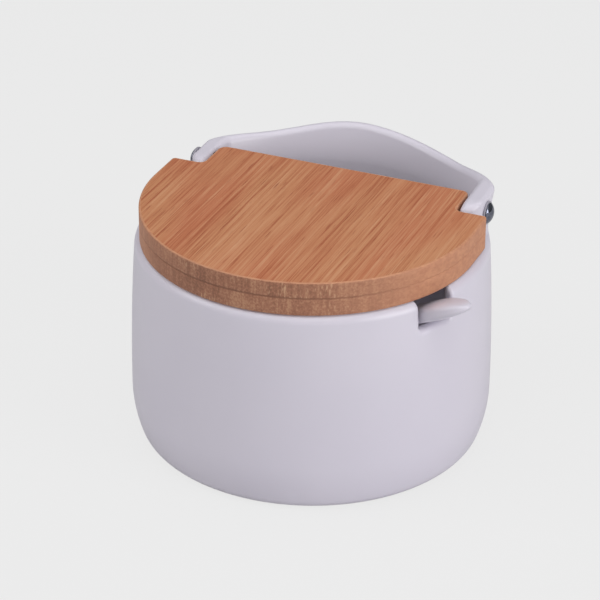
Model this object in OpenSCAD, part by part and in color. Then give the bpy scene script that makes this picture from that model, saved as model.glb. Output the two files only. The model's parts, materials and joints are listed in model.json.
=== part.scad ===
// Salt box: a glazed stoneware tub with a raised, wavy back wall that ends in two hinge ears,
// a two-board bamboo lid that swings on domed screws in nylon bushes, and a stoneware spoon
// whose handle leaves the box through a notch in the rim.
// Millimetres. The origin is the middle of the base, +Z is up and the front of the lid faces -Y.

/* [Tub] */
// Outside radius at the widest line
tub_r = 62.5; // [56:0.5:75]
// Height of the widest line
widest_z = 17.7; // [14:0.1:22]
// Height of the rim that the lid rests on
rim_z = 73.7; // [60:0.1:100]
// Thickness of the wall at the widest line
wall_t = 6.2; // [5.5:0.1:8]
// Radius of the bend between the wall and the base
bend_r = 43.4; // [36:0.1:48]
// Radius of the small edge that the base ends in
base_edge_r = 5; // [2:0.1:7]
// Distance by which the wall has leaned in at the rim
lean_in = 2.1; // [0.5:0.1:2.2]
// Thickness of the floor
floor_t = 6.5; // [4:0.1:9]
// Inside radius between the wall and the floor
floor_edge_r = 14; // [6:0.5:20]
// Rounding of the outer edge of the rim
rim_outer_r = 3.2; // [2:0.1:4]
// Rounding of the inner edge of the rim
rim_inner_r = 0.8; // [0.3:0.1:1]
// Width of the flat ring that the tub stands on
foot_w = 8; // [5:0.5:14]
// Depth of the recess inside that ring
foot_h = 1.5; // [0.5:0.1:2.5]

/* [Back wall] */
// Height of the top of the hump above the rim
hump_h = 14.3; // [12:0.1:24]
// Angle by which that top is turned from the middle of the back towards the -X ear
hump_turn = 8; // [0:0.5:10]
// Distance by which the raised wall flares out by the height of the hump
flare = 4.6; // [0:0.1:5]
// Height of the top edge above the rim at the two dips
dip_h = 11; // [10:0.1:14]
// Angle of the dips from the middle of the back
dip_angle = 36; // [30:1:40]
// Height of the top edge above the rim on the shoulders behind the ears
shoulder_h = 12.6; // [11:0.1:15]
// How much higher the +X shoulder and ear stand than those on the other side
shoulder_lean = 1.8; // [0:0.1:2.4]
// Angle of the shoulders from the middle of the back
shoulder_angle = 55; // [50:1:57]
// Rounding of the inner side of the top edge
top_inner_r = 2.2; // [1:0.1:2.4]
// Height of the rounding on the outer side of the top edge
top_outer_h = 2.2; // [1.5:0.1:3.5]

/* [Ears] */
// Distance from the tub's widest radius in to the flat outer face of an ear
ear_inset = 8.6; // [8:0.1:10]
// Thickness of an ear between its two flat faces
ear_t = 6.7; // [5.4:0.1:7.4]
// Height of an ear's top above the hinge axis
ear_h = 5.1; // [5:0.1:6.5]
// Plan radius of the nose at the front of an ear
nose_r = 7; // [6:0.1:8]
// Distance from the hinge axis forward to where the nose starts to turn in
nose_lead = 3; // [2:0.1:4]
// Width of the soft edge where the round wall turns into the flat outer face
outer_blend = 2; // [1:0.1:3]
// Width of the soft corner where the bore turns into the flat inner face
inner_blend = 1.2; // [0.5:0.1:2]
// Depth below the rim over which an ear's root runs out into the wall
root_h = 15; // [10:0.5:25]
// Depth below the rim down to which the root keeps the ear's full thickness
root_full = 2; // [1:0.5:4]

/* [Notch] */
// Bearing of the notch from the front towards +X
notch_bearing = 64.5; // [50:0.5:66]
// Width of the notch
notch_w = 14.4; // [13.6:0.1:18]
// Depth of the notch below the rim
notch_h = 10.6; // [9.5:0.1:12]
// Radius in the lower corners of the notch
notch_corner_r = 1.6; // [0.5:0.1:3]
// Rounding of the sill's inner and outer edges
sill_r = 2; // [1:0.1:2.6]

/* [Lid] */
// Distance from the tub's widest radius in to the lid's round front and straight sides
lid_inset = 4.45; // [4:0.05:5.5]
// Distance that the centre of that round front lies in front of the tub's axis
lid_lead = 1.7; // [0:0.1:2.5]
// Thickness of the upper board
upper_t = 5.55; // [4:0.05:8]
// Thickness of the lower board
lower_t = 6.25; // [4:0.05:8]
// Gap between the rear edge of each wing and the nose of the ear behind it
wing_gap = 1.5; // [1:0.1:4]
// Distance from the hinge axis back to the rear edge of the tongue between the ears
tail = 4.1; // [3:0.1:5]
// Radius of the wings' rear corners
wing_corner_r = 1.4; // [0.5:0.1:4]
// Radius in the two inside corners beside the tongue
inside_corner_r = 2.5; // [0.5:0.1:2.8]
// Radius of the tongue's rear corners
tongue_corner_r = 3; // [1:0.1:4]
// Gap left between the lid and the rim
lid_gap = 0.1; // [0.05:0.05:0.4]
// Gap between the tongue and each ear
ear_gap = 0.7; // [0.4:0.05:1]

/* [Hinge] */
// Distance from the tub's axis back to the hinge axis
hinge_back = 24; // [22:0.1:25]
// Height of the hinge axis above the middle of the lid's edge
hinge_up = 1.2; // [0:0.1:1.5]
// Diameter of the screw shank
shank_d = 4; // [3:0.1:4.6]
// Length of the screw that sits in the lid
screw_grip = 16; // [10:0.5:24]
// Diameter of the screw's domed head
head_d = 7.2; // [6.5:0.1:8.5]
// Height of the domed head
head_h = 1.8; // [1:0.1:2.4]
// Wall of the nylon bush
bush_wall = 0.9; // [0.6:0.05:1.2]
// Diameter of the bush's flange
flange_d = 8.2; // [7.6:0.1:9.6]
// Thickness of the bush's flange
flange_t = 0.7; // [0.4:0.05:1]
// Radial running clearance of the screw in its bush
run_gap = 0.05; // [0.02:0.01:0.1]
// Radial clearance of parts that are fixed in their holes
fit_gap = 0.02; // [0.01:0.01:0.05]

/* [Spoon] */
// Width of the handle
handle_w = 12.4; // [9:0.1:12.6]
// Thickness of the handle
handle_t = 5.8; // [4:0.1:6.2]
// Length of handle that stands out beyond the sill
handle_out = 21.5; // [14:0.5:26]
// Length over which the handle's thickness rounds off to its end
handle_end = 7; // [3:0.5:10]
// How far the end of the handle droops below its straight run
handle_droop = 1.2; // [0:0.1:2]
// Squareness of the handle's section, from 1 for an ellipse down to a box
handle_square = 0.65; // [0.5:0.05:1]
// Width of the neck between the bowl and the handle
neck_w = 7.2; // [5:0.1:8]
// Length over which the neck widens into the handle
neck_len = 30; // [20:0.5:40]
// Length of the bowl
bowl_len = 42; // [30:0.5:50]
// Width of the bowl
bowl_w = 31; // [22:0.5:36]
// Depth of the bowl
bowl_h = 7; // [4:0.1:9]
// Thickness of the bowl's shell
bowl_t = 3; // [2:0.1:4]
// Gap between the spoon's tip and the far wall of the tub, measured level
tip_gap = 14; // [12:0.5:24]
// Clearance under the spoon at the sill and at the floor
rest_gap = 0.3; // [0.1:0.05:0.5]

/* [Hidden] */
$fn = 128;
PAST = 5;     // cutters reach this far past what they cut
SMALL = 0.01; // stands in for zero where zero would divide
GLAZE = [0.84, 0.83, 0.87];
BAMBOO = [0.77, 0.55, 0.42];
BAMBOO_LOW = [0.70, 0.50, 0.38];
CHROME = [0.55, 0.56, 0.60];
NYLON = [0.90, 0.90, 0.88];

// Heights of the sill, the lid and the hinge
sill_z = rim_z - notch_h;
lid_z = rim_z + lid_gap;
glue_z = lid_z + lower_t;
lid_top = glue_z + upper_t;
hinge_z = (lid_z + lid_top) / 2 + hinge_up;
// Radii of the bore, of the barrel curve by which the wall leans in, and of the lid
bore_r = tub_r - wall_t;
barrel_r = (pow(rim_z - widest_z, 2) + pow(lean_in, 2)) / (2 * lean_in);
lid_r = tub_r - lid_inset;
// Faces of an ear, tongue, bush and screw, measured out from the middle plane
ear_out = tub_r - ear_inset;
ear_in = ear_out - ear_t;
tongue_half = ear_in - ear_gap;
bush_r = shank_d / 2 + run_gap + bush_wall;
head_x = ear_out + flange_t + run_gap;
// Rear edges of the lid's wings and tongue, measured back from the tub's axis
wing_back = hinge_back - nose_lead - nose_r - wing_gap;
tongue_back = hinge_back + tail;

// Points of an arc about [x, y] from angle a to angle b in n steps, without the first point
function arc(x, y, r, a, b, n) =
    [for (i = [1:n]) let (t = a + (b - a) * i / n) [x + r * cos(t), y + r * sin(t)]];
// Outside radius at height z above the widest line: it leans in, and flares out above the rim
function wall_r(z) = tub_r - barrel_r + sqrt(pow(barrel_r, 2) - pow(z - widest_z, 2))
    + flare * pow(max(z - rim_z, 0) / hump_h, 1.5);
// Inside radius at height z: above the rim it keeps the thickness that the wall has there
function inner_r(z) = bore_r + max(wall_r(max(z, rim_z)) - wall_r(rim_z), 0);
// Smaller of two values, with the corner between them rounded over a width k
function soft_min(a, b, k) = let (h = max(k - abs(a - b), 0) / k) min(a, b) - h * h * k / 4;
// Smooth step from a to b as t goes from t0 to t1
function ease(a, b, t, t0, t1) =
    a + (b - a) * (1 - cos(180 * min(max((t - t0) / (t1 - t0), 0), 1))) / 2;

// ---- Tub ----
// The base edge touches the foot plane and the big bend; the rim's outer edge touches the barrel
RIM_FLAT = 0.1;      // least width of the flat that the two roundings leave on the rim
bend_x = tub_r - bend_r;
base_edge_x = bend_x + sqrt(pow(bend_r - base_edge_r, 2) - pow(widest_z - base_edge_r, 2));
base_edge_end = -asin((widest_z - base_edge_r) / (bend_r - base_edge_r));
foot_in = base_edge_x - foot_w;
rim_r = min(rim_outer_r, wall_t - lean_in - rim_inner_r - RIM_FLAT);
rim_turn_z = rim_z - rim_r;
rim_lean = asin((rim_turn_z - widest_z) / (barrel_r - rim_r));
rim_turn_x = tub_r - barrel_r + (barrel_r - rim_r) * cos(rim_lean);

module tub_profile() {
    polygon(concat(
        [[0, foot_h], [foot_in - foot_h, foot_h], [foot_in, 0], [base_edge_x, 0]],
        arc(base_edge_x, base_edge_r, base_edge_r, -90, base_edge_end, 6),
        arc(bend_x, widest_z, bend_r, base_edge_end, 0, 8),
        arc(tub_r - barrel_r, widest_z, barrel_r, 0, rim_lean, 6),
        arc(rim_turn_x, rim_turn_z, rim_r, rim_lean, 90, 6),
        [[bore_r + rim_inner_r, rim_z]],
        arc(bore_r + rim_inner_r, rim_z - rim_inner_r, rim_inner_r, 90, 180, 3),
        [[bore_r, floor_t + floor_edge_r]],
        arc(bore_r - floor_edge_r, floor_t + floor_edge_r, floor_edge_r, 0, -90, 10),
        [[0, floor_t]]));
}

// ---- Raised back wall with its ears: one skin over sections that stand at even angles ----
SKIN = 0.05;         // the skin starts this far inside the tub's own surfaces
BURIED_IN = 1;       // the skin's foot is sunk into the tub's wall between these two depths
BURIED_OUT = 1.5;
EAR_STEP = 0.4;      // height over which an ear steps in from its root to its own outline
RAY_MARGIN = 0.15;   // the last section stays this angle inside the tangent to the nose
NOSE_SHARE = 0.98;   // share of the nose's top curve that the sections reach
hump_z = rim_z + hump_h;
wall_base_z = rim_z - root_h;
wall_cut_z = (wall_base_z + rim_turn_z) / 2;
cut_angle = 54;      // the tub's own rim is cut away up to here, where the skin is flush
side_n = 36;         // sections on each side of the middle

// The ear's flat outer face ends at nose_start, and its nose is a circle about this point
nose = [ear_out - nose_r, hinge_back - nose_lead];
nose_far = norm(nose);
nose_start = atan2(ear_out, nose[1]);
nose_end = atan2(nose[0], nose[1]) + asin(nose_r / nose_far) - RAY_MARGIN;
ear_angle = acos(hinge_back / wall_r(hinge_z));

// Height of the top edge at an angle from the middle of the back, on the side -1 or 1
function top_z(t, side) = let (lean = side * shoulder_lean / 2)
    t < dip_angle ? rim_z + ease(hump_h, dip_h, t, 0, dip_angle)
    : t < shoulder_angle ? rim_z + ease(dip_h, shoulder_h + lean, t, dip_angle, shoulder_angle)
    : let (z = lean + ease(rim_z + shoulder_h, hinge_z + ear_h, t, shoulder_angle, ear_angle),
           u = min(max((t - nose_start) / (nose_end - nose_start), 0), NOSE_SHARE))
      z - nose_lead * (1 - sqrt(1 - u * u));
// Radius at which a ray from the axis meets the flat outer face of an ear or its nose
function nose_ray(t) = let (m = nose[0] * sin(t) + nose[1] * cos(t))
    m + sqrt(max(m * m - nose_far * nose_far + nose_r * nose_r, 0));
function ear_face(t) = t < nose_start ? ear_out / max(sin(t), SMALL) : nose_ray(t);
function skin_out(t, z) = soft_min(wall_r(z) - SKIN, ear_face(t), outer_blend);
function skin_in(t, z) = soft_min(inner_r(z) + SKIN, ear_in / max(sin(t), SMALL), inner_blend);
// Below the rim the root of an ear spreads out into the wall and runs back to it
function root_out(t, z) = max(skin_out(t, z), bore_r + BURIED_OUT);
function root_in(t, z) = let (u = (z - wall_base_z) / (root_h - root_full))
    u < SMALL ? bore_r + BURIED_IN : bore_r + SKIN - (bore_r + SKIN - skin_in(t, z)) * sin(90 * u);

// The angle at which the top edge's height is looked up, t degrees from the middle towards +X
function turned(t) = abs(t + hump_turn * max(1 - abs(t) / shoulder_angle, 0));

// Closed section as [radius, height] points, from the outer foot over the top to the inner foot
function wall_section(t, zt) = let (
    zo = zt - top_outer_h,
    zi = zt - top_inner_r,
    ro = skin_out(t, zo),
    ri = skin_in(t, zi),
    ir = min(top_inner_r, (ro - ri) / 2),
    step_z = rim_z - EAR_STEP)
    concat(
        [for (z = [wall_base_z, (wall_base_z + step_z) / 2, step_z]) [root_out(t, z), z]],
        [for (i = [0:2]) let (z = rim_z + (zo - rim_z) * i / 3) [skin_out(t, z), z]],
        [for (i = [0:5]) let (a = 90 * i / 5)
            [ro - (ro - ri - ir) * (1 - cos(a)), zo + top_outer_h * sin(a)]],
        [for (i = [1:4]) let (a = 90 - 90 * i / 4) [ri + ir - ir * cos(a), zi + top_inner_r * sin(a)]],
        [for (i = [2, 1, 0]) let (z = rim_z + (zi - rim_z) * i / 3) [skin_in(t, z), z]],
        [for (i = [0:6]) let (z = rim_z - root_full - (root_h - root_full) * i / 6) [root_in(t, z), z]]);

// The sections crowd a little towards the ears
wall_angles = [for (i = [-side_n:side_n]) let (u = abs(i) / side_n)
    sign(i) * nose_end * u * (3 - u * u) / 2];

// Skin over a list of sections that all have the same number of points; each end is closed by
// a ladder of triangles between the two sides of its section
module skin(rings) {
    m = len(rings[0]);
    n = len(rings);
    ladder = [for (j = [0:floor((m - 1) / 2) - 1]) each
        [[j, m - 2 - j, j + 1], [j, m - 1 - j, m - 2 - j]]];
    ends = [for (tri = ladder) if (tri[1] != tri[2]) tri];
    polyhedron(
        [for (ring = rings) for (p = ring) p],
        concat(
            [for (k = [0:n - 2]) for (j = [0:m - 1]) let (a = k * m + j, b = k * m + (j + 1) % m)
                each [[a, b + m, b], [a, a + m, b + m]]],
            [for (tri = ends) [tri[2], tri[1], tri[0]]],
            [for (tri = ends) [for (j = tri) (n - 1) * m + j]]));
}

module raised_wall() {
    skin([for (t = wall_angles) let (section = wall_section(abs(t), top_z(turned(t), sign(t))))
        [for (p = section) [p[0] * sin(t), p[0] * cos(t), p[1]]]]);
}

// The sector at the back where the tub's own rim makes way for the raised wall
module rim_cut() {
    far = 2 * tub_r;
    translate([0, 0, wall_cut_z])
        linear_extrude(hump_z - wall_cut_z)
            polygon([[0, 0], [-far * tan(cut_angle), far], [far * tan(cut_angle), far]]);
}

// Notch for the spoon, cut along its own radius, with a rounded sill
module notch_cut() {
    sill_half = asin((notch_w / 2 - notch_corner_r) / wall_r(sill_z));
    rotate([0, 0, notch_bearing - 90]) {
        translate([bore_r - PAST, 0, 0])
            rotate([90, 0, 90])
                linear_extrude(wall_t + 2 * PAST)
                    difference() {
                        translate([-notch_w / 2, sill_z]) square([notch_w, notch_h + PAST]);
                        for (side = [-1, 1]) notch_corner(side);
                    }
        rotate([0, 0, -sill_half])
            rotate_extrude(angle = 2 * sill_half) {
                sill_round(bore_r, 1);
                sill_round(wall_r(sill_z), -1);
            }
    }
}

module notch_corner(side) {
    translate([side * notch_w / 2, sill_z])
        difference() {
            square(2 * notch_corner_r, center = true);
            translate([-side * notch_corner_r, notch_corner_r]) circle(notch_corner_r);
        }
}

// What the rounding takes off the sill's edge at radius x, where dir points into the wall. It
// starts a few degrees up, so that the cut crosses the wall's face and doesn't only touch it
module sill_round(x, dir) {
    first = 10;
    steps = 5;
    polygon(concat(
        [[x - PAST * dir, sill_z + PAST], [x - PAST * dir, sill_z - sill_r * (1 - sin(first))]],
        [for (i = [0:steps]) let (a = first + (90 - first) * i / steps)
            [x + dir * sill_r * (1 - cos(a)), sill_z - sill_r * (1 - sin(a))]],
        [[x + dir * sill_r, sill_z + PAST]]));
}

// Bores of radius r on the hinge axis, on both sides, from x0 to x1
module hinge_bores(r, x0, x1) {
    for (side = [-1, 1]) on_hinge(side, x0) cylinder(r = r, h = x1 - x0);
}

// What is drawn along +Z starts on the hinge axis at x, and points out to that side
module on_hinge(side, x) {
    translate([side * x, hinge_back, hinge_z]) rotate([0, side * 90, 0]) children();
}

module stoneware_tub() {
    color(GLAZE)
        difference() {
            union() {
                difference() {
                    rotate_extrude() tub_profile();
                    rim_cut();
                }
                raised_wall();
            }
            hinge_bores(bush_r + fit_gap, ear_in - PAST, ear_out + PAST);
            notch_cut();
        }
}

// ---- Lid ----
// What a round of radius r takes off, or fills in, at a corner that points to [dx, dy]
module corner(x, y, r, dx, dy) {
    translate([x, y])
        difference() {
            translate([dx > 0 ? -r : 0, dy > 0 ? -r : 0]) square(r);
            translate([-dx * r, -dy * r]) circle(r);
        }
}

module lid_outline() {
    far = 2 * lid_r;
    difference() {
        union() {
            translate([0, -lid_lead]) circle(lid_r);
            translate([-lid_r, -lid_lead]) square([2 * lid_r, lid_lead + wing_back]);
        }
        translate([-far, wing_back]) square([2 * far, far]);
        for (side = [-1, 1]) corner(side * lid_r, wing_back, wing_corner_r, side, 1);
    }
    difference() {
        translate([-tongue_half, 0]) square([2 * tongue_half, tongue_back]);
        for (side = [-1, 1]) corner(side * tongue_half, tongue_back, tongue_corner_r, side, 1);
    }
    for (side = [-1, 1]) corner(side * tongue_half, wing_back, inside_corner_r, -side, -1);
}

module lid_board(z, t) {
    difference() {
        translate([0, 0, z]) linear_extrude(t) lid_outline();
        hinge_bores(shank_d / 2 + fit_gap, tongue_half - screw_grip - fit_gap, tongue_half + PAST);
    }
}

module lid_upper_board() {
    color(BAMBOO) lid_board(glue_z, upper_t);
}

module lid_lower_board() {
    color(BAMBOO_LOW) lid_board(lid_z, lower_t);
}

// ---- Hinge hardware: a pointed screw with a domed head, and a flanged bush in the ear ----
module hinge_screw(side) {
    shank_r = shank_d / 2;
    head_z = head_x - tongue_half + screw_grip;
    dome_r = (pow(head_d / 2, 2) + pow(head_h, 2)) / (2 * head_h);
    color(CHROME)
        on_hinge(side, tongue_half - screw_grip)
            rotate_extrude()
                polygon(concat(
                    [[0, 0], [shank_r, shank_r], [shank_r, head_z], [head_d / 2, head_z]],
                    arc(0, head_z + head_h - dome_r, dome_r, 90 - asin(head_d / 2 / dome_r), 90, 10)));
}

module hinge_bush(side) {
    color(NYLON)
        on_hinge(side, ear_in)
            difference() {
                union() {
                    cylinder(r = bush_r, h = ear_t + flange_t);
                    translate([0, 0, ear_t]) cylinder(d = flange_d, h = flange_t);
                }
                translate([0, 0, -PAST])
                    cylinder(r = shank_d / 2 + run_gap, h = ear_t + flange_t + 2 * PAST);
            }
}

module left_hinge_screw() { hinge_screw(-1); }
module right_hinge_screw() { hinge_screw(1); }
module left_hinge_bush() { hinge_bush(-1); }
module right_hinge_bush() { hinge_bush(1); }

// ---- Spoon ----
// It leans over the rounded sill with its bowl near the floor by the far wall. s runs along the
// spoon from the tip of the bowl; the sections are loops about the spoon's middle line.
BLUNT = 0.1;         // share of the full size left at a rounded end
CROWD = 0.08;        // how much the sections crowd towards both ends
spoon_n = 44;        // steps along the spoon
ring_n = 20;         // points round a section
rough_pitch = atan2(sill_z - floor_t, 2 * bore_r - tip_gap);
tip_drop = max([for (s = [0:bowl_len / 2])
    (bowl_t / 2 + sag(s)) * cos(rough_pitch) - s * sin(rough_pitch)]);
tip = [tip_gap - bore_r, floor_t + rest_gap + tip_drop];
sill_mid = [bore_r + sill_r, sill_z - sill_r];
rest_h = sill_r + rest_gap + handle_t / 2;
reach = norm(sill_mid - tip);
spoon_pitch = atan2(sill_mid[1] - tip[1], sill_mid[0] - tip[0]) + asin(rest_h / reach);
spoon_len = sqrt(reach * reach - rest_h * rest_h) + handle_out;

// Share of the full size at a share u of the way out to a rounded end
function round_end(u) = max(sqrt(max(1 - u * u, 0)), BLUNT);
// How far s has come into the last stretch of the handle, as a share of that stretch
function into_end(s, stretch) = max(s - (spoon_len - stretch), 0) / stretch;
// Half width: a rounded bowl, a neck, and a handle with a rounded end
function half_w(s) = let (
    bowl = s < bowl_len ? bowl_w / 2 * round_end(s / bowl_len * 2 - 1) : 0,
    handle = s > bowl_len / 2 ? ease(neck_w, handle_w, s, bowl_len, bowl_len + neck_len) / 2 : 0)
    max(bowl, handle) * round_end(into_end(s, handle_w / 2));
function half_t(s) =
    ease(bowl_t, handle_t, s, bowl_len, bowl_len + neck_len) / 2 * round_end(into_end(s, handle_end));
function sag(s) = s > bowl_len ? 0 : bowl_h * (1 - pow(s / bowl_len * 2 - 1, 2));
// Height of the middle line over the straight run: the bowl sags and the handle's end droops
function middle(s, a) = -sag(s) * pow(sin(a), 2) - handle_droop * pow(into_end(s, handle_out), 2);
// Power that keeps the sign
function signed_pow(x, e) = sign(x) * pow(abs(x), e);
function spoon_ring(s) = let (e = ease(1, handle_square, s, bowl_len, bowl_len + neck_len))
    [for (j = [0:ring_n - 1]) let (a = 360 * j / ring_n)
        [s, half_w(s) * signed_pow(cos(a), e), half_t(s) * signed_pow(sin(a), e) + middle(s, a)]];

module salt_spoon() {
    stations = [for (i = [0:spoon_n]) let (u = i / spoon_n) spoon_len * (u - CROWD * sin(360 * u))];
    color(GLAZE)
        rotate([0, 0, notch_bearing - 90])
            translate([tip[0], 0, tip[1]])
                rotate([0, -spoon_pitch, 0])
                    skin([for (s = stations) spoon_ring(s)]);
}

stoneware_tub();
lid_upper_board();
lid_lower_board();
left_hinge_screw();
right_hinge_screw();
left_hinge_bush();
right_hinge_bush();
salt_spoon();
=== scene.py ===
"""Looks of the salt box: glazed stoneware tub and spoon, bamboo lid, chrome screws, nylon bushes.

Lengths in the modelling code are millimetres in the part's own frame (+Z up, -Y the lid's round
front), and become metres where a mesh is made.
"""
import json
import math

import bpy
import numpy as np
from mathutils import Matrix, Vector


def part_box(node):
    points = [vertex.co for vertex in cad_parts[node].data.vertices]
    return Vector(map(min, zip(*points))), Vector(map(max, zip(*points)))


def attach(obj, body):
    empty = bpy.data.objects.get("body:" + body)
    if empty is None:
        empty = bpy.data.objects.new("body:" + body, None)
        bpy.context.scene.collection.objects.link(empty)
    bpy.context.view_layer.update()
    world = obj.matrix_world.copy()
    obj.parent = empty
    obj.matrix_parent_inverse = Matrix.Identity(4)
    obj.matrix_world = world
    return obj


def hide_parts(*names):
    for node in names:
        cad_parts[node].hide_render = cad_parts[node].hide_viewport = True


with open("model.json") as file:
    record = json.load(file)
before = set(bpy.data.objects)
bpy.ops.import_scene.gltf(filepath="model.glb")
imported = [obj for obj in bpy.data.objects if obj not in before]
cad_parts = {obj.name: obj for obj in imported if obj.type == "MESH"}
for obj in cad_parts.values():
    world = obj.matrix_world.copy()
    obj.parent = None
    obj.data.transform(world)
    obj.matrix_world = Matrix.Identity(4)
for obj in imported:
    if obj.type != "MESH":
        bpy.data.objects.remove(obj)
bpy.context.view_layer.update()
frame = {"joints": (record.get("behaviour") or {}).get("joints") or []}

MM = 0.001


def box_mm(node):
    """Lowest and highest corner of a CAD node, in millimetres."""
    low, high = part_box(node)
    return np.array(low) / MM, np.array(high) / MM


# ---- Sizes ----
# What the frame gives is read from it. The rest repeats the part's own values, save for the
# handle's end and the roundings of a few edges, which follow the photograph more closely here.
UPPER_LOW, UPPER_HIGH = box_mm("lid_upper_board")
LOWER_LOW = box_mm("lid_lower_board")[0]
TUB_LOW, TUB_HIGH = box_mm("stoneware_tub")
LID_HINGE = next(joint for joint in frame["joints"] if joint["name"] == "lid_hinge")
HINGE_Y = LID_HINGE["pos_m"][1] / MM
HINGE_Z = LID_HINGE["pos_m"][2] / MM

# The tub below its rim
TUB_R = TUB_HIGH[0]
WIDEST_Z = 17.7
LID_GAP = 0.1
RIM_Z = LOWER_LOW[2] - LID_GAP
WALL_T = 6.2
BORE_R = TUB_R - WALL_T
BEND_R = 43.4
BASE_EDGE_R = 5.0
LEAN_IN = 2.1
BARREL_R = ((RIM_Z - WIDEST_Z) ** 2 + LEAN_IN**2) / (2 * LEAN_IN)
FLOOR_T = 6.5
FLOOR_EDGE_R = 14.0
RIM_OUTER_R = 3.2
RIM_INNER_R = 0.8
FOOT_W = 8.0
FOOT_H = 1.5
FOOT_EDGE_R = 0.5

# The raised back wall and its ears; angles run from the middle of the back, in degrees
HUMP_H = 14.3
HUMP_TURN = 8.0
FLARE = 4.6
DIP_H = 11.0
DIP_ANGLE = 36.0
SHOULDER_H = 12.6
SHOULDER_LEAN = 1.8
SHOULDER_ANGLE = 55.0
TOP_INNER_R = 1.7
TOP_OUTER_R = 2.8

EAR_INSET = 8.6
EAR_T = 6.7
EAR_H = 5.1
EAR_INNER_R = 2.1
EAR_OUTER_R = 1.6
NOSE_R = 7.0
NOSE_LEAD = 3.0
OUTER_BLEND = 0.8
INNER_BLEND = 3.6
EAR_FROM = 45.0
EAR_FULL = 62.0
FILLET_FROM = 60.5
FILLET_FULL = 65.0
ROOT_H = 15.0
ROOT_FULL = 2.0
ROOT_FILLET = 1.6

# The notch for the spoon; its bearing is from the front towards +X
NOTCH_BEARING = 64.5
NOTCH_W = 14.4
NOTCH_H = 10.6
NOTCH_CORNER_R = 1.6
NOTCH_SIDE_R = 1.4
SILL_R = 2.0
SILL_BLEND_BELOW = 1.0
SILL_BLEND_ABOVE = 3.0

# The lid
LID_R = UPPER_HIGH[0]
LID_LEAD = 1.7
WING_GAP = 1.5
TONGUE_BACK = UPPER_HIGH[1]
WING_CORNER_R = 1.4
INSIDE_CORNER_R = 2.5
TONGUE_CORNER_R = 3.0
EAR_GAP = 0.7
EASED_EDGE = 0.45
GLUE_CHAMFER = 0.14

# The screws and bushes
SHANK_D = 4.0
SCREW_GRIP = 16.0
HEAD_D = 7.2
HEAD_H = 1.8
BUSH_WALL = 0.9
FLANGE_D = 8.2
FLANGE_T = 0.7
RUN_GAP = 0.05
FIT_GAP = 0.02

# The spoon
HANDLE_W = 12.4
HANDLE_T = 5.8
HANDLE_OUT = 21.5
HANDLE_END = 15.0
HANDLE_DROOP = 1.2
HANDLE_SQUARE = 0.65
NECK_W = 7.2
NECK_LEN = 30.0
BOWL_LEN = 42.0
BOWL_W = 31.0
BOWL_H = 7.0
BOWL_T = 3.0
TIP_GAP = 14.0
REST_GAP = 0.3
LIP_LEN = 1.5
NECK_SHARE = 0.3

SILL_Z = RIM_Z - NOTCH_H
EAR_OUT = TUB_R - EAR_INSET
EAR_IN = EAR_OUT - EAR_T
TONGUE_HALF = EAR_IN - EAR_GAP
NOSE_X = EAR_OUT - NOSE_R
NOSE_Y = HINGE_Y - NOSE_LEAD
WING_BACK = NOSE_Y - NOSE_R - WING_GAP
BUSH_R = SHANK_D / 2 + RUN_GAP + BUSH_WALL


# ---- Mesh helpers ----
def make_object(name, points, faces, body, replaces, normals=None):
    """A mesh object from points in millimetres that rides on a body and stands for CAD nodes."""
    mesh = bpy.data.meshes.new(name)
    mesh.from_pydata((np.asarray(points) * MM).tolist(), [], [list(map(int, f)) for f in faces])
    mesh.validate()
    mesh.update()
    mesh.shade_smooth()
    if normals is not None:
        mesh.normals_split_custom_set_from_vertices(np.asarray(normals).tolist())
    piece = bpy.data.objects.new(name, mesh)
    bpy.context.scene.collection.objects.link(piece)
    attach(piece, body)
    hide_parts(*replaces)
    return piece


def ring_faces(rings, around):
    """Quads between closed rings of points that lie one after another in a list."""
    faces = []
    for k in range(rings - 1):
        for j in range(around):
            a = k * around + j
            b = k * around + (j + 1) % around
            faces.append((a, b, b + around, a + around))
    return faces


def lathe(profile, steps=96):
    """Points and faces of a profile of (radius, height) turned about +Z; radius 0 ends it."""
    points = []
    faces = []
    rows = []
    for radius, height in profile:
        if radius == 0:
            rows.append([len(points)])
            points.append((0, 0, height))
            continue
        rows.append(list(range(len(points), len(points) + steps)))
        for i in range(steps):
            a = 2 * math.pi * i / steps
            points.append((radius * math.cos(a), radius * math.sin(a), height))
    for low, high in zip(rows, rows[1:]):
        for i in range(steps):
            j = (i + 1) % steps
            if len(low) == 1:
                faces.append((low[0], high[j], high[i]))
            elif len(high) == 1:
                faces.append((low[i], low[j], high[0]))
            else:
                faces.append((low[i], low[j], high[j], high[i]))
    return np.array(points, float), faces


def arc(x, y, r, start, end, steps):
    """Points of an arc about (x, y), angles in degrees, both ends included."""
    angles = [math.radians(start + (end - start) * i / steps) for i in range(steps + 1)]
    return [(x + r * math.cos(a), y + r * math.sin(a)) for a in angles]


# ---- The tub as a signed field, negative inside, that is meshed and pulled onto its zero ----
def round_max(a, b, r):
    """Larger of two distances, with the edge between them rounded to radius r."""
    return np.minimum(np.maximum(a, b), -r) + np.hypot(np.maximum(a + r, 0), np.maximum(b + r, 0))


def soft_min(a, b, k):
    """Smaller of two distances, with the corner between them blended over a width k."""
    h = np.maximum(k - np.abs(a - b), 0) / np.maximum(k, 1e-6)
    return np.minimum(a, b) - h * h * k / 4


def soft_max(a, b, k):
    """Larger of two distances, blended over a width k."""
    return -soft_min(-a, -b, k)


def step_between(t, start, end):
    """0 before start, 1 after end, and a cosine step between them."""
    return (1 - np.cos(np.pi * np.clip((t - start) / (end - start), 0, 1))) / 2


def wall_radius(z):
    """Outside radius above the widest line: the wall leans in, and flares out above the rim."""
    rise = np.maximum(z - RIM_Z, 0) / HUMP_H
    return TUB_R - BARREL_R + np.sqrt(BARREL_R**2 - (z - WIDEST_Z) ** 2) + FLARE * rise**1.5


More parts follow.
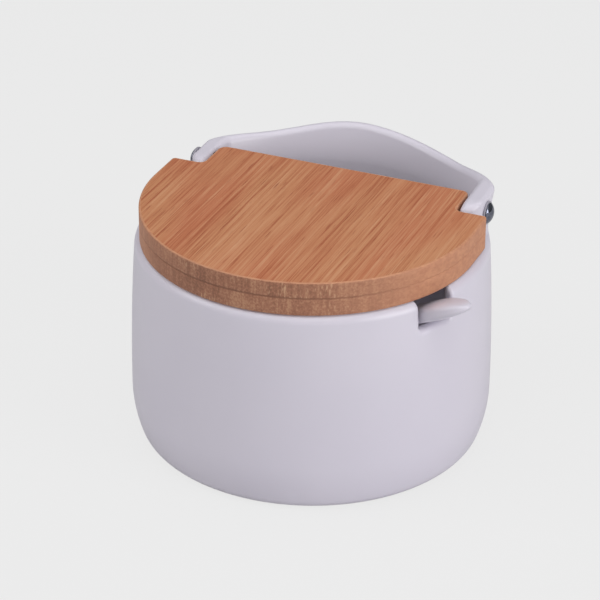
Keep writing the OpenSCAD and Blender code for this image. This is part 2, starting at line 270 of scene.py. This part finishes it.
def outer_distance(r, z):
    """Distance out of the tub's outside: barrel wall, big bend, base edge and foot plane."""
    bend_x = TUB_R - BEND_R
    reach = BEND_R - BASE_EDGE_R
    edge_x = bend_x + math.sqrt(reach**2 - (WIDEST_Z - BASE_EDGE_R) ** 2)
    edge_slope = (WIDEST_Z - BASE_EDGE_R) / (edge_x - bend_x)
    bend = np.hypot(r - bend_x, z - WIDEST_Z) - BEND_R
    edge = np.hypot(r - edge_x, z - BASE_EDGE_R) - BASE_EDGE_R
    below_edge = WIDEST_Z - z > edge_slope * np.maximum(r - bend_x, 0)
    low = np.where(below_edge, np.where(r > edge_x, edge, -z), bend)
    return np.where(z > WIDEST_Z, r - wall_radius(z), low)


def top_height(t):
    """Height of the raised wall's top edge, t degrees from the middle of the back towards +X."""
    shoulder_h = SHOULDER_H + np.sign(t) * SHOULDER_LEAN / 2
    t = np.abs(t + HUMP_TURN * np.maximum(1 - np.abs(t) / SHOULDER_ANGLE, 0))
    ear_angle = math.degrees(math.acos(HINGE_Y / wall_radius(HINGE_Z)))
    ear_top = HINGE_Z + EAR_H - RIM_Z
    height = HUMP_H + (DIP_H - HUMP_H) * step_between(t, 0, DIP_ANGLE)
    height = height + (shoulder_h - DIP_H) * step_between(t, DIP_ANGLE, SHOULDER_ANGLE)
    return RIM_Z + height + (ear_top - SHOULDER_H) * step_between(t, SHOULDER_ANGLE, ear_angle)


def raised_wall(x, y, z, r, t):
    """The back wall and its two ears, above the rim and down their roots."""
    turn = t
    x, t = np.abs(x), np.abs(t)
    slope = (top_height(turn + 0.5) - top_height(turn - 0.5)) / (np.radians(1) * TUB_R)
    # The ears' tops fall away towards the front, over the nose
    ahead = np.clip((NOSE_Y - y) / NOSE_R, 0, 0.98)
    droop = NOSE_LEAD * (1 - np.sqrt(1 - ahead**2))
    top = (z - top_height(turn) + droop) / np.sqrt(1 + slope**2)
    at_ear = step_between(t, EAR_FROM, EAR_FULL)
    nose = np.where(y > NOSE_Y, x - EAR_OUT, np.hypot(x - NOSE_X, y - NOSE_Y) - NOSE_R)
    outside = soft_max(outer_distance(r, z), nose, OUTER_BLEND)
    rise = np.clip((z - RIM_Z + ROOT_H) / (ROOT_H - ROOT_FULL), 0, 1)
    bore_x = np.sqrt(np.maximum(BORE_R**2 - y**2, EAR_IN**2))
    ear_face = EAR_IN + (1 - np.sin(rise * np.pi / 2)) * (bore_x + ROOT_FULL - EAR_IN)
    inner_r = BORE_R + np.maximum(wall_radius(np.maximum(z, RIM_Z)) - wall_radius(RIM_Z), 0)
    inside = soft_min(inner_r - r, ear_face - x, INNER_BLEND * at_ear)
    crown = round_max(outside, top, TOP_OUTER_R + (EAR_OUTER_R - TOP_OUTER_R) * at_ear)
    return round_max(crown, inside, TOP_INNER_R + (EAR_INNER_R - TOP_INNER_R) * at_ear)


def tub_field(p):
    """Signed distance, near enough, of points (n, 3) from the tub's surface."""
    x, y, z = p[..., 0], p[..., 1], p[..., 2]
    r = np.hypot(x, y)
    t = np.degrees(np.arctan2(x, y))
    room = round_max(r - BORE_R, FLOOR_T - z, FLOOR_EDGE_R)
    low = round_max(outer_distance(r, z), z - RIM_Z, RIM_OUTER_R)
    low = round_max(low, -room, RIM_INNER_R)
    # The ears stand on the rim with a small fillet; where wall and tub are flush there is none.
    # Under the ears it still acts at the foot, where it leaves a ridge of under 1 mm.
    fillet = ROOT_FILLET * step_between(np.abs(t), FILLET_FROM, FILLET_FULL)
    field = soft_min(low, raised_wall(x, y, z, r, t), fillet)
    hinge = np.hypot(y - HINGE_Y, z - HINGE_Z) - BUSH_R - FIT_GAP
    field = np.maximum(field, -hinge)
    bearing = math.radians(NOTCH_BEARING)
    along = x * math.sin(bearing) - y * math.cos(bearing)
    across = np.abs(x * math.cos(bearing) + y * math.sin(bearing))
    notch = round_max(across - NOTCH_W / 2, SILL_Z - z, NOTCH_CORNER_R)
    notch = np.maximum(notch, -along)
    at_side = step_between(z, SILL_Z - SILL_BLEND_BELOW, SILL_Z + SILL_BLEND_ABOVE)
    edge_r = NOTCH_SIDE_R + (SILL_R - NOTCH_SIDE_R) * (1 - at_side)
    field = round_max(field, -notch, edge_r)
    bend_x = TUB_R - BEND_R
    foot_in = bend_x + math.sqrt((BEND_R - BASE_EDGE_R) ** 2 - (WIDEST_Z - BASE_EDGE_R) ** 2) - FOOT_W
    recess = np.maximum(z - FOOT_H, (r + z - foot_in) / math.sqrt(2))
    return round_max(field, -recess, FOOT_EDGE_R)


def gradient(field, p, h):
    """Gradient of a field at points, by central differences."""
    g = np.zeros_like(p)
    for axis in range(3):
        step = np.zeros(3)
        step[axis] = h
        g[:, axis] = (field(p + step) - field(p - step)) / (2 * h)
    return g


def surface_net(field, axes):
    """Quads round the zero of a field on a grid with uneven steps, one point to a crossed cell."""
    grid = np.stack(np.meshgrid(*axes, indexing="ij"), axis=-1)
    value = np.concatenate([field(slab)[None] for slab in grid])
    inside = value < 0
    shape = np.array(value.shape) - 1
    total = np.zeros((*shape, 3))
    count = np.zeros(shape)
    quads = []
    for a in range(3):
        low = tuple(slice(0, -1) if i == a else slice(None) for i in range(3))
        high = tuple(slice(1, None) if i == a else slice(None) for i in range(3))
        crossed = inside[low] != inside[high]
        index = np.argwhere(crossed)
        start, end = value[low][crossed], value[high][crossed]
        point = np.stack([axes[i][index[:, i]] for i in range(3)], axis=1)
        point[:, a] += start / (start - end) * (axes[a][index[:, a] + 1] - axes[a][index[:, a]])
        b, c = (a + 1) % 3, (a + 2) % 3
        corners = []
        for back_b, back_c in ((0, 0), (1, 0), (1, 1), (0, 1)):
            cell = index.copy()
            cell[:, b] -= back_b
            cell[:, c] -= back_c
            np.add.at(total, tuple(cell.T), point)
            np.add.at(count, tuple(cell.T), 1)
            corners.append(np.ravel_multi_index(cell.T, shape))
        quad = np.stack(corners, axis=1)
        backwards = ~inside[low][crossed]
        quad[backwards] = quad[backwards][:, ::-1]
        quads.append(quad)
    quads = np.concatenate(quads)
    used, faces = np.unique(quads, return_inverse=True)
    points = total.reshape(-1, 3)[used] / count.reshape(-1)[used][:, None]
    return points, faces.reshape(-1, 4)


def graded(stops):
    """Grid lines between stops, where each stop is (position, step up to the next one)."""
    lines = []
    for (start, step), (end, _) in zip(stops, stops[1:]):
        n = max(1, round((end - start) / step))
        lines += [start + (end - start) * i / n for i in range(n)]
    return np.array(lines + [stops[-1][0]])


def make_tub():
    """The tub: a net round the field's zero, pulled onto it, with its normals from the field."""
    coarse = 1.0
    pulls = 6
    longest_pull = 0.5
    pull_h = 0.02
    normal_h = 0.12
    xs = graded([(-64, 0.75 * coarse), (-42, 1.5 * coarse), (42, 0.75 * coarse), (64, 1)])
    ys = graded([(-64, 1.3 * coarse), (-36, 0.9 * coarse), (-16, 1.3 * coarse), (10, 0.8 * coarse),
                 (40, 1.2 * coarse), (64, 1)])
    zs = graded([(-1, 0.5 * coarse), (3, 1.1 * coarse), (22, 2.4 * coarse), (58, 1.0 * coarse),
                 (62, 0.6 * coarse), (90, 1)])
    points, faces = surface_net(tub_field, (xs, ys, zs))
    for _ in range(pulls):
        slope = gradient(tub_field, points, pull_h)
        size = np.maximum((slope**2).sum(1), 0.25)
        pull = np.clip(tub_field(points) / size, -longest_pull, longest_pull)
        points -= pull[:, None] * slope
    normals = gradient(tub_field, points, normal_h)
    normals /= np.linalg.norm(normals, axis=1)[:, None]
    points = np.clip(points, TUB_LOW, TUB_HIGH)
    return make_object("glazed_tub", points, faces, "tub", ["stoneware_tub"], normals)


# ---- Lid boards ----
def lid_outline():
    """The lid's outline, anticlockwise from the right end of the round front."""
    right = [(LID_R, WING_BACK / 2)]
    right += arc(LID_R - WING_CORNER_R, WING_BACK - WING_CORNER_R, WING_CORNER_R, 0, 90, 10)
    inside_x = TONGUE_HALF + INSIDE_CORNER_R
    right += arc(inside_x, WING_BACK + INSIDE_CORNER_R, INSIDE_CORNER_R, 270, 180, 12)
    corner_x = TONGUE_HALF - TONGUE_CORNER_R
    right += arc(corner_x, TONGUE_BACK - TONGUE_CORNER_R, TONGUE_CORNER_R, 0, 90, 14)
    left = [(-x, y) for x, y in reversed(right)]
    front = arc(0, -LID_LEAD, LID_R, 180, 360, 220)
    return np.array(right + left + front)


def spread(outline, step):
    """The same closed outline with long straight stretches cut into steps."""
    points = []
    for start, end in zip(outline, np.roll(outline, -1, axis=0)):
        n = max(1, int(np.linalg.norm(end - start) / step))
        points += [start + (end - start) * i / n for i in range(n)]
    return np.array(points)


def outward(outline):
    """Unit normals that point out of an anticlockwise outline."""
    tangent = np.roll(outline, -1, axis=0) - np.roll(outline, 1, axis=0)
    normal = np.stack([tangent[:, 1], -tangent[:, 0]], axis=1)
    return normal / np.linalg.norm(normal, axis=1)[:, None]


def board_profile(low_z, high_z, low_ease, high_ease):
    """(inset, height) pairs up the edge of a board, from inside its lower face to its upper one."""
    near = 0.25
    far = 0.6
    rows = [(low_ease + far, low_z), (low_ease + near, low_z)]
    rows += [(low_ease - low_ease * math.sin(a), low_z + low_ease - low_ease * math.cos(a))
             for a in np.radians([0, 30, 60, 90])]
    rows += [(0, low_z + (high_z - low_z) * share) for share in (0.25, 0.5, 0.75)]
    rows += [(high_ease - high_ease * math.cos(a), high_z - high_ease + high_ease * math.sin(a))
             for a in np.radians([0, 30, 60, 90])]
    return rows + [(high_ease + near, high_z), (high_ease + far, high_z)]


def make_board(name, node, low_z, high_z, low_ease, high_ease):
    """A board with its faces on the first material and its cut edge on the second."""
    outline = spread(lid_outline(), 2.0)
    normal = outward(outline)
    rows = board_profile(low_z, high_z, low_ease, high_ease)
    rings = [np.column_stack([outline - normal * inset, np.full(len(outline), z)]) for inset, z in rows]
    around = len(outline)
    faces = ring_faces(len(rows), around)
    first_side = around
    last_side = (len(rows) - 2) * around
    faces.append(list(range(around))[::-1])
    faces.append(list(range((len(rows) - 1) * around, len(rows) * around)))
    piece = make_object(name, np.concatenate(rings), faces, "lid", [node])
    edge = np.zeros(len(faces), np.int32)
    edge[first_side:last_side] = 1
    piece.data.polygons.foreach_set("material_index", edge)
    return piece


# ---- Hinge hardware ----
def on_hinge(points, side, x):
    """Points drawn along +Z, laid on the hinge axis from x outwards on one side."""
    along = side * (points[:, 2] + x)
    return np.column_stack([along, points[:, 1] + HINGE_Y, points[:, 0] + HINGE_Z])


def make_turned(name, node, side, x, profile, body):
    """A turned piece on the hinge axis; side is -1 for the left and 1 for the right."""
    points, faces = lathe(profile)
    if side > 0:
        faces = [f[::-1] for f in faces]
    return make_object(name, on_hinge(points, side, x), faces, body, [node])


def screw_profile():
    """(radius, height) pairs of a screw from its buried point out to its domed head."""
    shank = SHANK_D / 2
    seat = EAR_OUT + FLANGE_T + RUN_GAP - TONGUE_HALF + SCREW_GRIP
    head = HEAD_D / 2
    rim = 0.3
    ease = 0.12
    dome_r = (head**2 + (HEAD_H - rim) ** 2) / (2 * (HEAD_H - rim))
    dome_z = seat + HEAD_H - dome_r
    start = math.degrees(math.acos(head / dome_r))
    dome = [(r, z) for r, z in arc(0, dome_z, dome_r, start + 1.5, 90, 20)][:-1]
    point = [(0, 0), (shank * 0.9, shank * 0.9), (shank, shank * 1.1)]
    neck = [(shank, seat - 0.1), (shank + 0.1, seat)]
    edge = [(head - ease, seat), (head, seat + ease), (head, seat + rim)]
    return point + neck + edge + dome + [(0, seat + HEAD_H)]


def bush_profile():
    """(radius, height) pairs of a bush from its inner end out to its flange."""
    bore = SHANK_D / 2 + RUN_GAP
    flange = FLANGE_D / 2
    top = EAR_T + FLANGE_T
    ease = 0.2
    return [(bore, 0), (BUSH_R - 0.1, 0), (BUSH_R, 0.1), (BUSH_R, EAR_T), (flange - 0.05, EAR_T),
            (flange, EAR_T + 0.05), (flange, top - ease), (flange - ease * 0.3, top - ease * 0.3),
            (flange - ease, top), (bore + ease, top), (bore, top - ease), (bore, 0)]


# ---- Spoon ----
def round_end(u):
    """Share of the full size at a share u of the way out to a rounded end."""
    return math.sqrt(max(1 - u * u, 0))


def spoon_lie():
    """The tip in the plane of the notch, the pitch of the spoon and its length."""
    lean = math.atan2(SILL_Z - FLOOR_T, 2 * BORE_R - TIP_GAP)
    drop = max((BOWL_T / 2 + spoon_sag(s)) * math.cos(lean) - s * math.sin(lean)
               for s in range(int(BOWL_LEN / 2)))
    tip = np.array([TIP_GAP - BORE_R, FLOOR_T + REST_GAP + drop])
    sill = np.array([BORE_R + SILL_R, SILL_Z - SILL_R])
    rest = SILL_R + REST_GAP + HANDLE_T / 2
    reach = np.linalg.norm(sill - tip)
    pitch = math.atan2(sill[1] - tip[1], sill[0] - tip[0]) + math.asin(rest / reach)
    return tip, pitch, math.sqrt(reach**2 - rest**2) + HANDLE_OUT


def signed_power(x, e):
    """Power of a number's size that keeps its sign: squares off a round section."""
    return math.copysign(abs(x) ** e, x)


def spoon_sag(s):
    """How deep the bowl is dished at a distance s from the tip."""
    return 0 if s > BOWL_LEN else BOWL_H * (1 - (s / BOWL_LEN * 2 - 1) ** 2)


def make_spoon():
    """The spoon, lofted along itself from the tip and then laid in the notch."""
    tip, pitch, length = spoon_lie()
    steps = 150
    around = 56
    stations = [length * (1 - math.cos(math.pi * i / steps)) / 2 for i in range(steps + 1)]
    points = []
    for s in stations:
        end = round_end(max(s - (length - HANDLE_END), 0) / HANDLE_END)
        bowl = BOWL_W / 2 * round_end(s / BOWL_LEN * 2 - 1) if s < BOWL_LEN else 0
        widen = float(step_between(s, BOWL_LEN, BOWL_LEN + NECK_LEN))
        handle = (NECK_W + (HANDLE_W - NECK_W) * widen) / 2 if s > BOWL_LEN / 2 else 0
        wide = math.hypot(max(bowl, handle), NECK_SHARE * min(bowl, handle)) * end
        thick = (BOWL_T + (HANDLE_T - BOWL_T) * widen) / 2 * end
        thick *= round_end(max(1 - s / LIP_LEN, 0))
        square = 1 + (HANDLE_SQUARE - 1) * widen
        droop = HANDLE_DROOP * (max(s - (length - HANDLE_OUT), 0) / HANDLE_OUT) ** 2
        for j in range(around):
            a = 2 * math.pi * j / around
            across = wide * signed_power(math.cos(a), square)
            up = thick * signed_power(math.sin(a), square) - spoon_sag(s) * math.sin(a) ** 2 - droop
            points.append((s, across, up))
    points = np.array(points)
    faces = ring_faces(len(stations), around)
    faces.append(list(range(around)))
    faces.append(list(range((len(stations) - 1) * around, len(stations) * around))[::-1])
    bearing = math.radians(NOTCH_BEARING)
    out = tip[0] + points[:, 0] * math.cos(pitch) - points[:, 2] * math.sin(pitch)
    up = tip[1] + points[:, 0] * math.sin(pitch) + points[:, 2] * math.cos(pitch)
    x = out * math.sin(bearing) + points[:, 1] * math.cos(bearing)
    y = -out * math.cos(bearing) + points[:, 1] * math.sin(bearing)
    low, high = box_mm("salt_spoon")
    placed = np.clip(np.column_stack([x, y, up]), low, high)
    faces = [f[::-1] for f in faces]
    return make_object("glazed_spoon", placed, faces, "spoon", ["salt_spoon"])


# ---- Materials ----
def srgb(r, g, b):
    """A colour given as 0 to 255 sRGB, as the linear colour that a shader takes."""
    def linear(c):
        c = c / 255
        return c / 12.92 if c <= 0.04045 else ((c + 0.055) / 1.055) ** 2.4
    return (linear(r), linear(g), linear(b), 1.0)


class Shader:
    """A small helper that builds one material's nodes."""

    def __init__(self, name, **sockets):
        self.material = bpy.data.materials.new(name)
        self.material.use_nodes = True
        self.tree = self.material.node_tree
        self.bsdf = next(n for n in self.tree.nodes if n.type == "BSDF_PRINCIPLED")
        for socket, value in sockets.items():
            self.bsdf.inputs[socket.replace("_", " ")].default_value = value

    def node(self, kind, inputs=(), **settings):
        made = self.tree.nodes.new(kind)
        for key, value in settings.items():
            setattr(made, key, value)
        for key, value in dict(inputs).items():
            if isinstance(value, bpy.types.NodeSocket):
                self.tree.links.new(value, made.inputs[key])
            else:
                made.inputs[key].default_value = value
        return made

    def coords(self, scale):
        place = self.node("ShaderNodeTexCoord").outputs["Object"]
        return self.node("ShaderNodeMapping", {"Vector": place, "Scale": scale}).outputs[0]

    def noise(self, scale, detail=2.0, rough=0.5):
        """Noise with its own scale along each axis, in features a metre."""
        return self.node("ShaderNodeTexNoise", {
            "Vector": self.coords(scale), "Scale": 1.0, "Detail": detail, "Roughness": rough
        }).outputs["Fac"]

    def ramp(self, factor, stops):
        made = self.node("ShaderNodeValToRGB", {"Fac": factor})
        elements = made.color_ramp.elements
        while len(elements) < len(stops):
            elements.new(0.5)
        for element, (position, color) in zip(elements, stops):
            element.position = position
            element.color = color
        return made.outputs["Color"]

    def mix(self, factor, a, b):
        made = self.node("ShaderNodeMix", data_type="RGBA")
        for index, value in ((0, factor), (6, a), (7, b)):
            if isinstance(value, bpy.types.NodeSocket):
                self.tree.links.new(value, made.inputs[index])
            else:
                made.inputs[index].default_value = value
        return made.outputs[2]

    def math(self, operation, a, b=0.0, c=0.0, clamp=False):
        made = self.node("ShaderNodeMath", {0: a, 1: b, 2: c}, operation=operation, use_clamp=clamp)
        return made.outputs[0]

    def remap(self, value, low, high, to_low=0.0, to_high=1.0):
        limits = {"From Min": low, "From Max": high, "To Min": to_low, "To Max": to_high}
        return self.node("ShaderNodeMapRange", {"Value": value, **limits}).outputs[0]

    def height(self):
        place = self.node("ShaderNodeTexCoord").outputs["Object"]
        return self.node("ShaderNodeSeparateXYZ", {"Vector": place}).outputs["Z"]

    def link(self, socket, value):
        self.tree.links.new(value, self.bsdf.inputs[socket])

    def bump(self, height, strength, distance):
        shape = {"Height": height, "Strength": strength, "Distance": distance}
        self.link("Normal", self.node("ShaderNodeBump", shape).outputs["Normal"])


GLAZE_COLOR = srgb(208, 203, 214)
GLAZE_SHADE = srgb(203, 198, 210)
CLAY_COLOR = srgb(214, 207, 196)


def glaze_material(name, foot):
    """Satin glaze; with foot it stops at a ragged line just above the bare clay of the foot."""
    shader = Shader(name, Roughness=0.34, IOR=1.5)
    tone = shader.noise((14, 14, 14), 2.0)
    color = shader.mix(shader.remap(tone, 0.35, 0.65), GLAZE_COLOR, GLAZE_SHADE)
    rough = shader.remap(shader.noise((45, 45, 45), 2.0), 0.3, 0.7, 0.3, 0.38)
    if foot:
        bare_up_to = 0.0008
        glazed_from = 0.0011
        ragged = shader.math("MULTIPLY_ADD", shader.noise((260, 260, 260), 2.0), 0.0006, -0.0003)
        height = shader.math("ADD", shader.height(), ragged)
        bare = shader.remap(height, bare_up_to, glazed_from, 1.0, 0.0)
        clay = shader.mix(shader.noise((1800, 1800, 1800), 3.0), CLAY_COLOR, srgb(190, 182, 170))
        color = shader.mix(bare, color, clay)
        rough = shader.math("MULTIPLY_ADD", bare, 0.6, rough, clamp=True)
    shader.link("Base Color", color)
    shader.link("Roughness", rough)
    shader.bump(shader.noise((60, 60, 60), 1.0), 0.06, 0.0006)
    return shader.material


WOOD_DARK = srgb(158, 84, 52)
WOOD_RED = srgb(184, 113, 78)
WOOD_TAN = srgb(190, 129, 90)
WOOD_PALE = srgb(203, 149, 112)
WOOD_FLECK = srgb(134, 62, 36)
END_DARK = srgb(134, 90, 68)
END_MID = srgb(156, 106, 82)
END_PALE = srgb(176, 130, 100)
END_FLECK = srgb(212, 172, 136)
SIDE_MID = srgb(178, 121, 92)
SIDE_PALE = srgb(193, 137, 104)
GLUE_LINE = srgb(96, 60, 46)


def bamboo_face(name, seed):
    """Long grain: soft strips, short fibres and tiny dark dashes that all run along Y."""
    shader = Shader(name, Roughness=0.5, IOR=1.45)
    patch = shader.noise((38, 14, 25 + seed), 1.0)
    band = shader.noise((110, 4, 40 + seed), 2.0, 0.5)
    fibre = shader.noise((850, 9, 80 + seed), 2.0, 0.5)
    streak = shader.noise((2600, 34, 130 + seed), 3.0, 0.7)
    tone = shader.math("MULTIPLY_ADD", fibre, 0.28, shader.math("MULTIPLY", band, 0.26))
    tone = shader.math("MULTIPLY_ADD", streak, 0.46, tone)
    base = shader.mix(shader.remap(patch, 0.4, 0.6), WOOD_RED, WOOD_TAN)
    color = shader.mix(shader.remap(tone, 0.50, 0.39, 0.0, 1.0), base, WOOD_DARK)
    color = shader.mix(shader.remap(tone, 0.51, 0.63, 0.0, 1.0), color, WOOD_PALE)
    dash = shader.noise((1900, 90, 200 + seed), 1.0, 0.4)
    dark = shader.remap(dash, 0.66, 0.76, 0.0, 0.55)
    color = shader.mix(dark, color, WOOD_FLECK)
    shader.link("Base Color", color)
    shader.link("Roughness", shader.remap(streak, 0.3, 0.7, 0.44, 0.6))
    shader.bump(shader.math("MULTIPLY_ADD", dark, -0.8, streak), 0.3, 0.00012)
    return shader.material


def bamboo_edge(name, seed, glue_z, top_z):
    """Cut edge: fibre ends as dots round the front, smooth side grain at the sides, a glue line."""
    shader = Shader(name, Roughness=0.6, IOR=1.45)
    normal = shader.node("ShaderNodeTexCoord").outputs["Normal"]
    forward = shader.node("ShaderNodeSeparateXYZ", {"Vector": normal}).outputs["Y"]
    ends = shader.remap(shader.math("ABSOLUTE", forward), 0.45, 0.95)
    dots = shader.noise((1500, 500, 1300 + seed), 2.0, 0.6)
    strip = shader.noise((800, 60, 50 + seed), 2.0, 0.5)
    patch = shader.noise((60, 30, 40 + seed), 2.0)
    tone = shader.math("MULTIPLY_ADD", strip, 0.3, shader.math("MULTIPLY", dots, 0.4))
    tone = shader.math("MULTIPLY_ADD", patch, 0.3, tone)
    front = shader.ramp(tone, [(0.40, END_DARK), (0.5, END_MID), (0.60, END_PALE)])
    vessels = shader.remap(shader.noise((1300, 200, 330 + seed), 1.0, 0.4), 0.58, 0.68, 0.0, 0.5)
    patchy = shader.remap(shader.noise((45, 20, 90 + seed), 1.0), 0.5, 0.6)
    front = shader.mix(shader.math("MULTIPLY", vessels, patchy), front, END_FLECK)
    fibre = shader.noise((200, 500, 700 + seed), 3.0, 0.6)
    side = shader.mix(shader.remap(fibre, 0.35, 0.65), SIDE_MID, SIDE_PALE)
    color = shader.mix(ends, side, front)
    height = shader.height()
    off = shader.math("ABSOLUTE", shader.math("SUBTRACT", height, glue_z * MM))
    line = shader.math("MULTIPLY", shader.remap(off, 0.00012, 0.00040, 0.8, 0.0), ends)
    color = shader.mix(line, color, GLUE_LINE)
    ragged = shader.math("MULTIPLY_ADD", shader.noise((420, 420, 60), 3.0), 0.0012, height)
    arris = shader.remap(ragged, top_z * MM + 0.00035, top_z * MM + 0.0005, 0.0, 0.3)
    color = shader.mix(arris, color, WOOD_PALE)
    shader.link("Base Color", color)
    shader.bump(dots, 0.25, 0.00012)
    return shader.material


def chrome_material():
    shader = Shader("polished_chrome", Metallic=1.0, Roughness=0.1)
    speck = shader.noise((1200, 1200, 1200), 2.0)
    color = shader.mix(shader.remap(speck, 0.4, 0.6), srgb(100, 103, 116), srgb(124, 126, 138))
    shader.link("Base Color", color)
    shader.link("Roughness", shader.remap(speck, 0.3, 0.7, 0.06, 0.14))
    shader.bump(speck, 0.1, 0.0001)
    return shader.material


def nylon_material():
    shader = Shader("grey_nylon", Roughness=0.45, IOR=1.5)
    color = shader.mix(shader.noise((700, 700, 700), 2.0), srgb(160, 156, 166), srgb(140, 137, 148))
    shader.link("Base Color", color)
    shader.bump(shader.noise((3000, 3000, 3000), 2.0), 0.1, 0.00004)
    return shader.material


# ---- Make the pieces ----
GLUE_Z = UPPER_LOW[2]
tub = make_tub()
tub.data.materials.append(glaze_material("stoneware_glaze", foot=True))
spoon = make_spoon()
spoon.data.materials.append(glaze_material("spoon_glaze", foot=False))
upper = make_board("bamboo_upper_board", "lid_upper_board", GLUE_Z, UPPER_HIGH[2],
                   GLUE_CHAMFER, EASED_EDGE)
lower = make_board("bamboo_lower_board", "lid_lower_board", LOWER_LOW[2], GLUE_Z,
                   EASED_EDGE, GLUE_CHAMFER)
for board, seed in ((upper, 0), (lower, 17)):
    board.data.materials.append(bamboo_face(board.name + "_face", seed))
    board.data.materials.append(bamboo_edge(board.name + "_edge", seed, GLUE_Z, UPPER_HIGH[2]))
chrome = chrome_material()
nylon = nylon_material()
for word, side in (("left", -1), ("right", 1)):
    screw = make_turned(f"{word}_domed_screw", f"{word}_hinge_screw", side, TONGUE_HALF - SCREW_GRIP,
                        screw_profile(), "lid")
    screw.data.materials.append(chrome)
    bush = make_turned(f"{word}_nylon_bush", f"{word}_hinge_bush", side, EAR_IN,
                       bush_profile(), "tub")
    bush.data.materials.append(nylon)


# ---- Stage: pale floor and world, soft lamps ----
BACKDROP = srgb(237, 237, 237)
FLOOR_COLOR = srgb(216, 216, 216)
PLAIN_SHARE = 0.9
WORLD_COLOR = (0.97, 0.98, 1.0, 1)
WORLD_STRENGTH = 0.2
LAMP_AIM = Vector((0, 0, 0.05))


def camera_only(tree, shown, other):
    """Shows one shader to camera and glass rays and another to the rest."""
    path = tree.nodes.new("ShaderNodeLightPath")
    seen = tree.nodes.new("ShaderNodeMath")
    seen.operation = "MAXIMUM"
    tree.links.new(path.outputs["Is Camera Ray"], seen.inputs[0])
    tree.links.new(path.outputs["Is Transmission Ray"], seen.inputs[1])
    mixed = tree.nodes.new("ShaderNodeMixShader")
    tree.links.new(seen.outputs[0], mixed.inputs["Fac"])
    tree.links.new(other, mixed.inputs[1])
    tree.links.new(shown, mixed.inputs[2])
    return mixed.outputs[0]


def make_floor():
    """The stage's floor: near the backdrop's tone to the camera, with a faint shadow."""
    mesh = bpy.data.meshes.new("floor")
    half = 6.0
    corners = [(-half, -half, 0), (half, -half, 0), (half, half, 0), (-half, half, 0)]
    mesh.from_pydata(corners, [], [(0, 1, 2, 3)])
    floor = bpy.data.objects.new("floor", mesh)
    bpy.context.scene.collection.objects.link(floor)
    material = bpy.data.materials.new("pale_floor")
    material.use_nodes = True
    tree = material.node_tree
    bsdf = next(n for n in tree.nodes if n.type == "BSDF_PRINCIPLED")
    output = next(n for n in tree.nodes if n.type == "OUTPUT_MATERIAL")
    bsdf.inputs["Base Color"].default_value = FLOOR_COLOR
    bsdf.inputs["Roughness"].default_value = 0.9
    plain = tree.nodes.new("ShaderNodeEmission")
    plain.inputs["Color"].default_value = BACKDROP
    shadowed = tree.nodes.new("ShaderNodeMixShader")
    shadowed.inputs["Fac"].default_value = PLAIN_SHARE
    tree.links.new(bsdf.outputs[0], shadowed.inputs[1])
    tree.links.new(plain.outputs[0], shadowed.inputs[2])
    tree.links.new(camera_only(tree, shadowed.outputs[0], bsdf.outputs[0]), output.inputs["Surface"])
    mesh.materials.append(material)


def make_world():
    """The backdrop that the camera sees and the dim light that falls on the part."""
    world = bpy.data.worlds.new("studio")
    bpy.context.scene.world = world
    world.use_nodes = True
    tree = world.node_tree
    light = next(n for n in tree.nodes if n.type == "BACKGROUND")
    light.inputs["Color"].default_value = WORLD_COLOR
    light.inputs["Strength"].default_value = WORLD_STRENGTH
    shown = tree.nodes.new("ShaderNodeBackground")
    shown.inputs["Color"].default_value = BACKDROP
    output = next(n for n in tree.nodes if n.type == "OUTPUT_WORLD")
    tree.links.new(camera_only(tree, shown.outputs[0], light.outputs[0]), output.inputs["Surface"])


def make_lamp(name, place, size, power):
    """A soft lamp at a place that faces the box; metres and watts."""
    lamp = bpy.data.lights.new(name, "AREA")
    lamp.shape = "RECTANGLE"
    lamp.size, lamp.size_y = size
    lamp.energy = power
    stand = bpy.data.objects.new(name, lamp)
    bpy.context.scene.collection.objects.link(stand)
    stand.location = place
    stand.rotation_euler = (LAMP_AIM - Vector(place)).to_track_quat("-Z", "Y").to_euler()


def make_camera():
    """The camera of the photograph: a long lens from the front right, a little above."""
    azimuth, elevation, roll = (math.radians(a) for a in (22.65, 28.43, 0.42))
    distance = 0.8631
    target = Vector((-0.00375, -0.00156, 0.0474))
    back = Vector((math.sin(azimuth) * math.cos(elevation), -math.cos(azimuth) * math.cos(elevation),
                   math.sin(elevation)))
    level = Vector((math.cos(azimuth), math.sin(azimuth), 0))
    rise = back.cross(level)
    right = math.cos(roll) * level + math.sin(roll) * rise
    up = math.cos(roll) * rise - math.sin(roll) * level
    data = bpy.data.cameras.new("camera")
    data.sensor_width = 36
    data.lens = 150
    camera = bpy.data.objects.new("camera", data)
    bpy.context.scene.collection.objects.link(camera)
    turn = Matrix((right, up, back)).transposed().to_4x4()
    camera.matrix_world = Matrix.Translation(target + distance * back) @ turn
    bpy.context.scene.camera = camera


make_floor()
make_world()
make_lamp("above", (0, 0, 1.4), (1.4, 1.4), 8.5)
make_lamp("right", (1.3, -0.3, 0.5), (0.8, 0.8), 11.0)
make_lamp("left", (-1.1, -0.7, 0.9), (0.8, 0.8), 5.8)
make_lamp("front", (0.1, -1.0, 1.3), (1.8, 1.2), 6.8)
make_camera()
bpy.context.scene.view_settings.view_transform = "Standard"
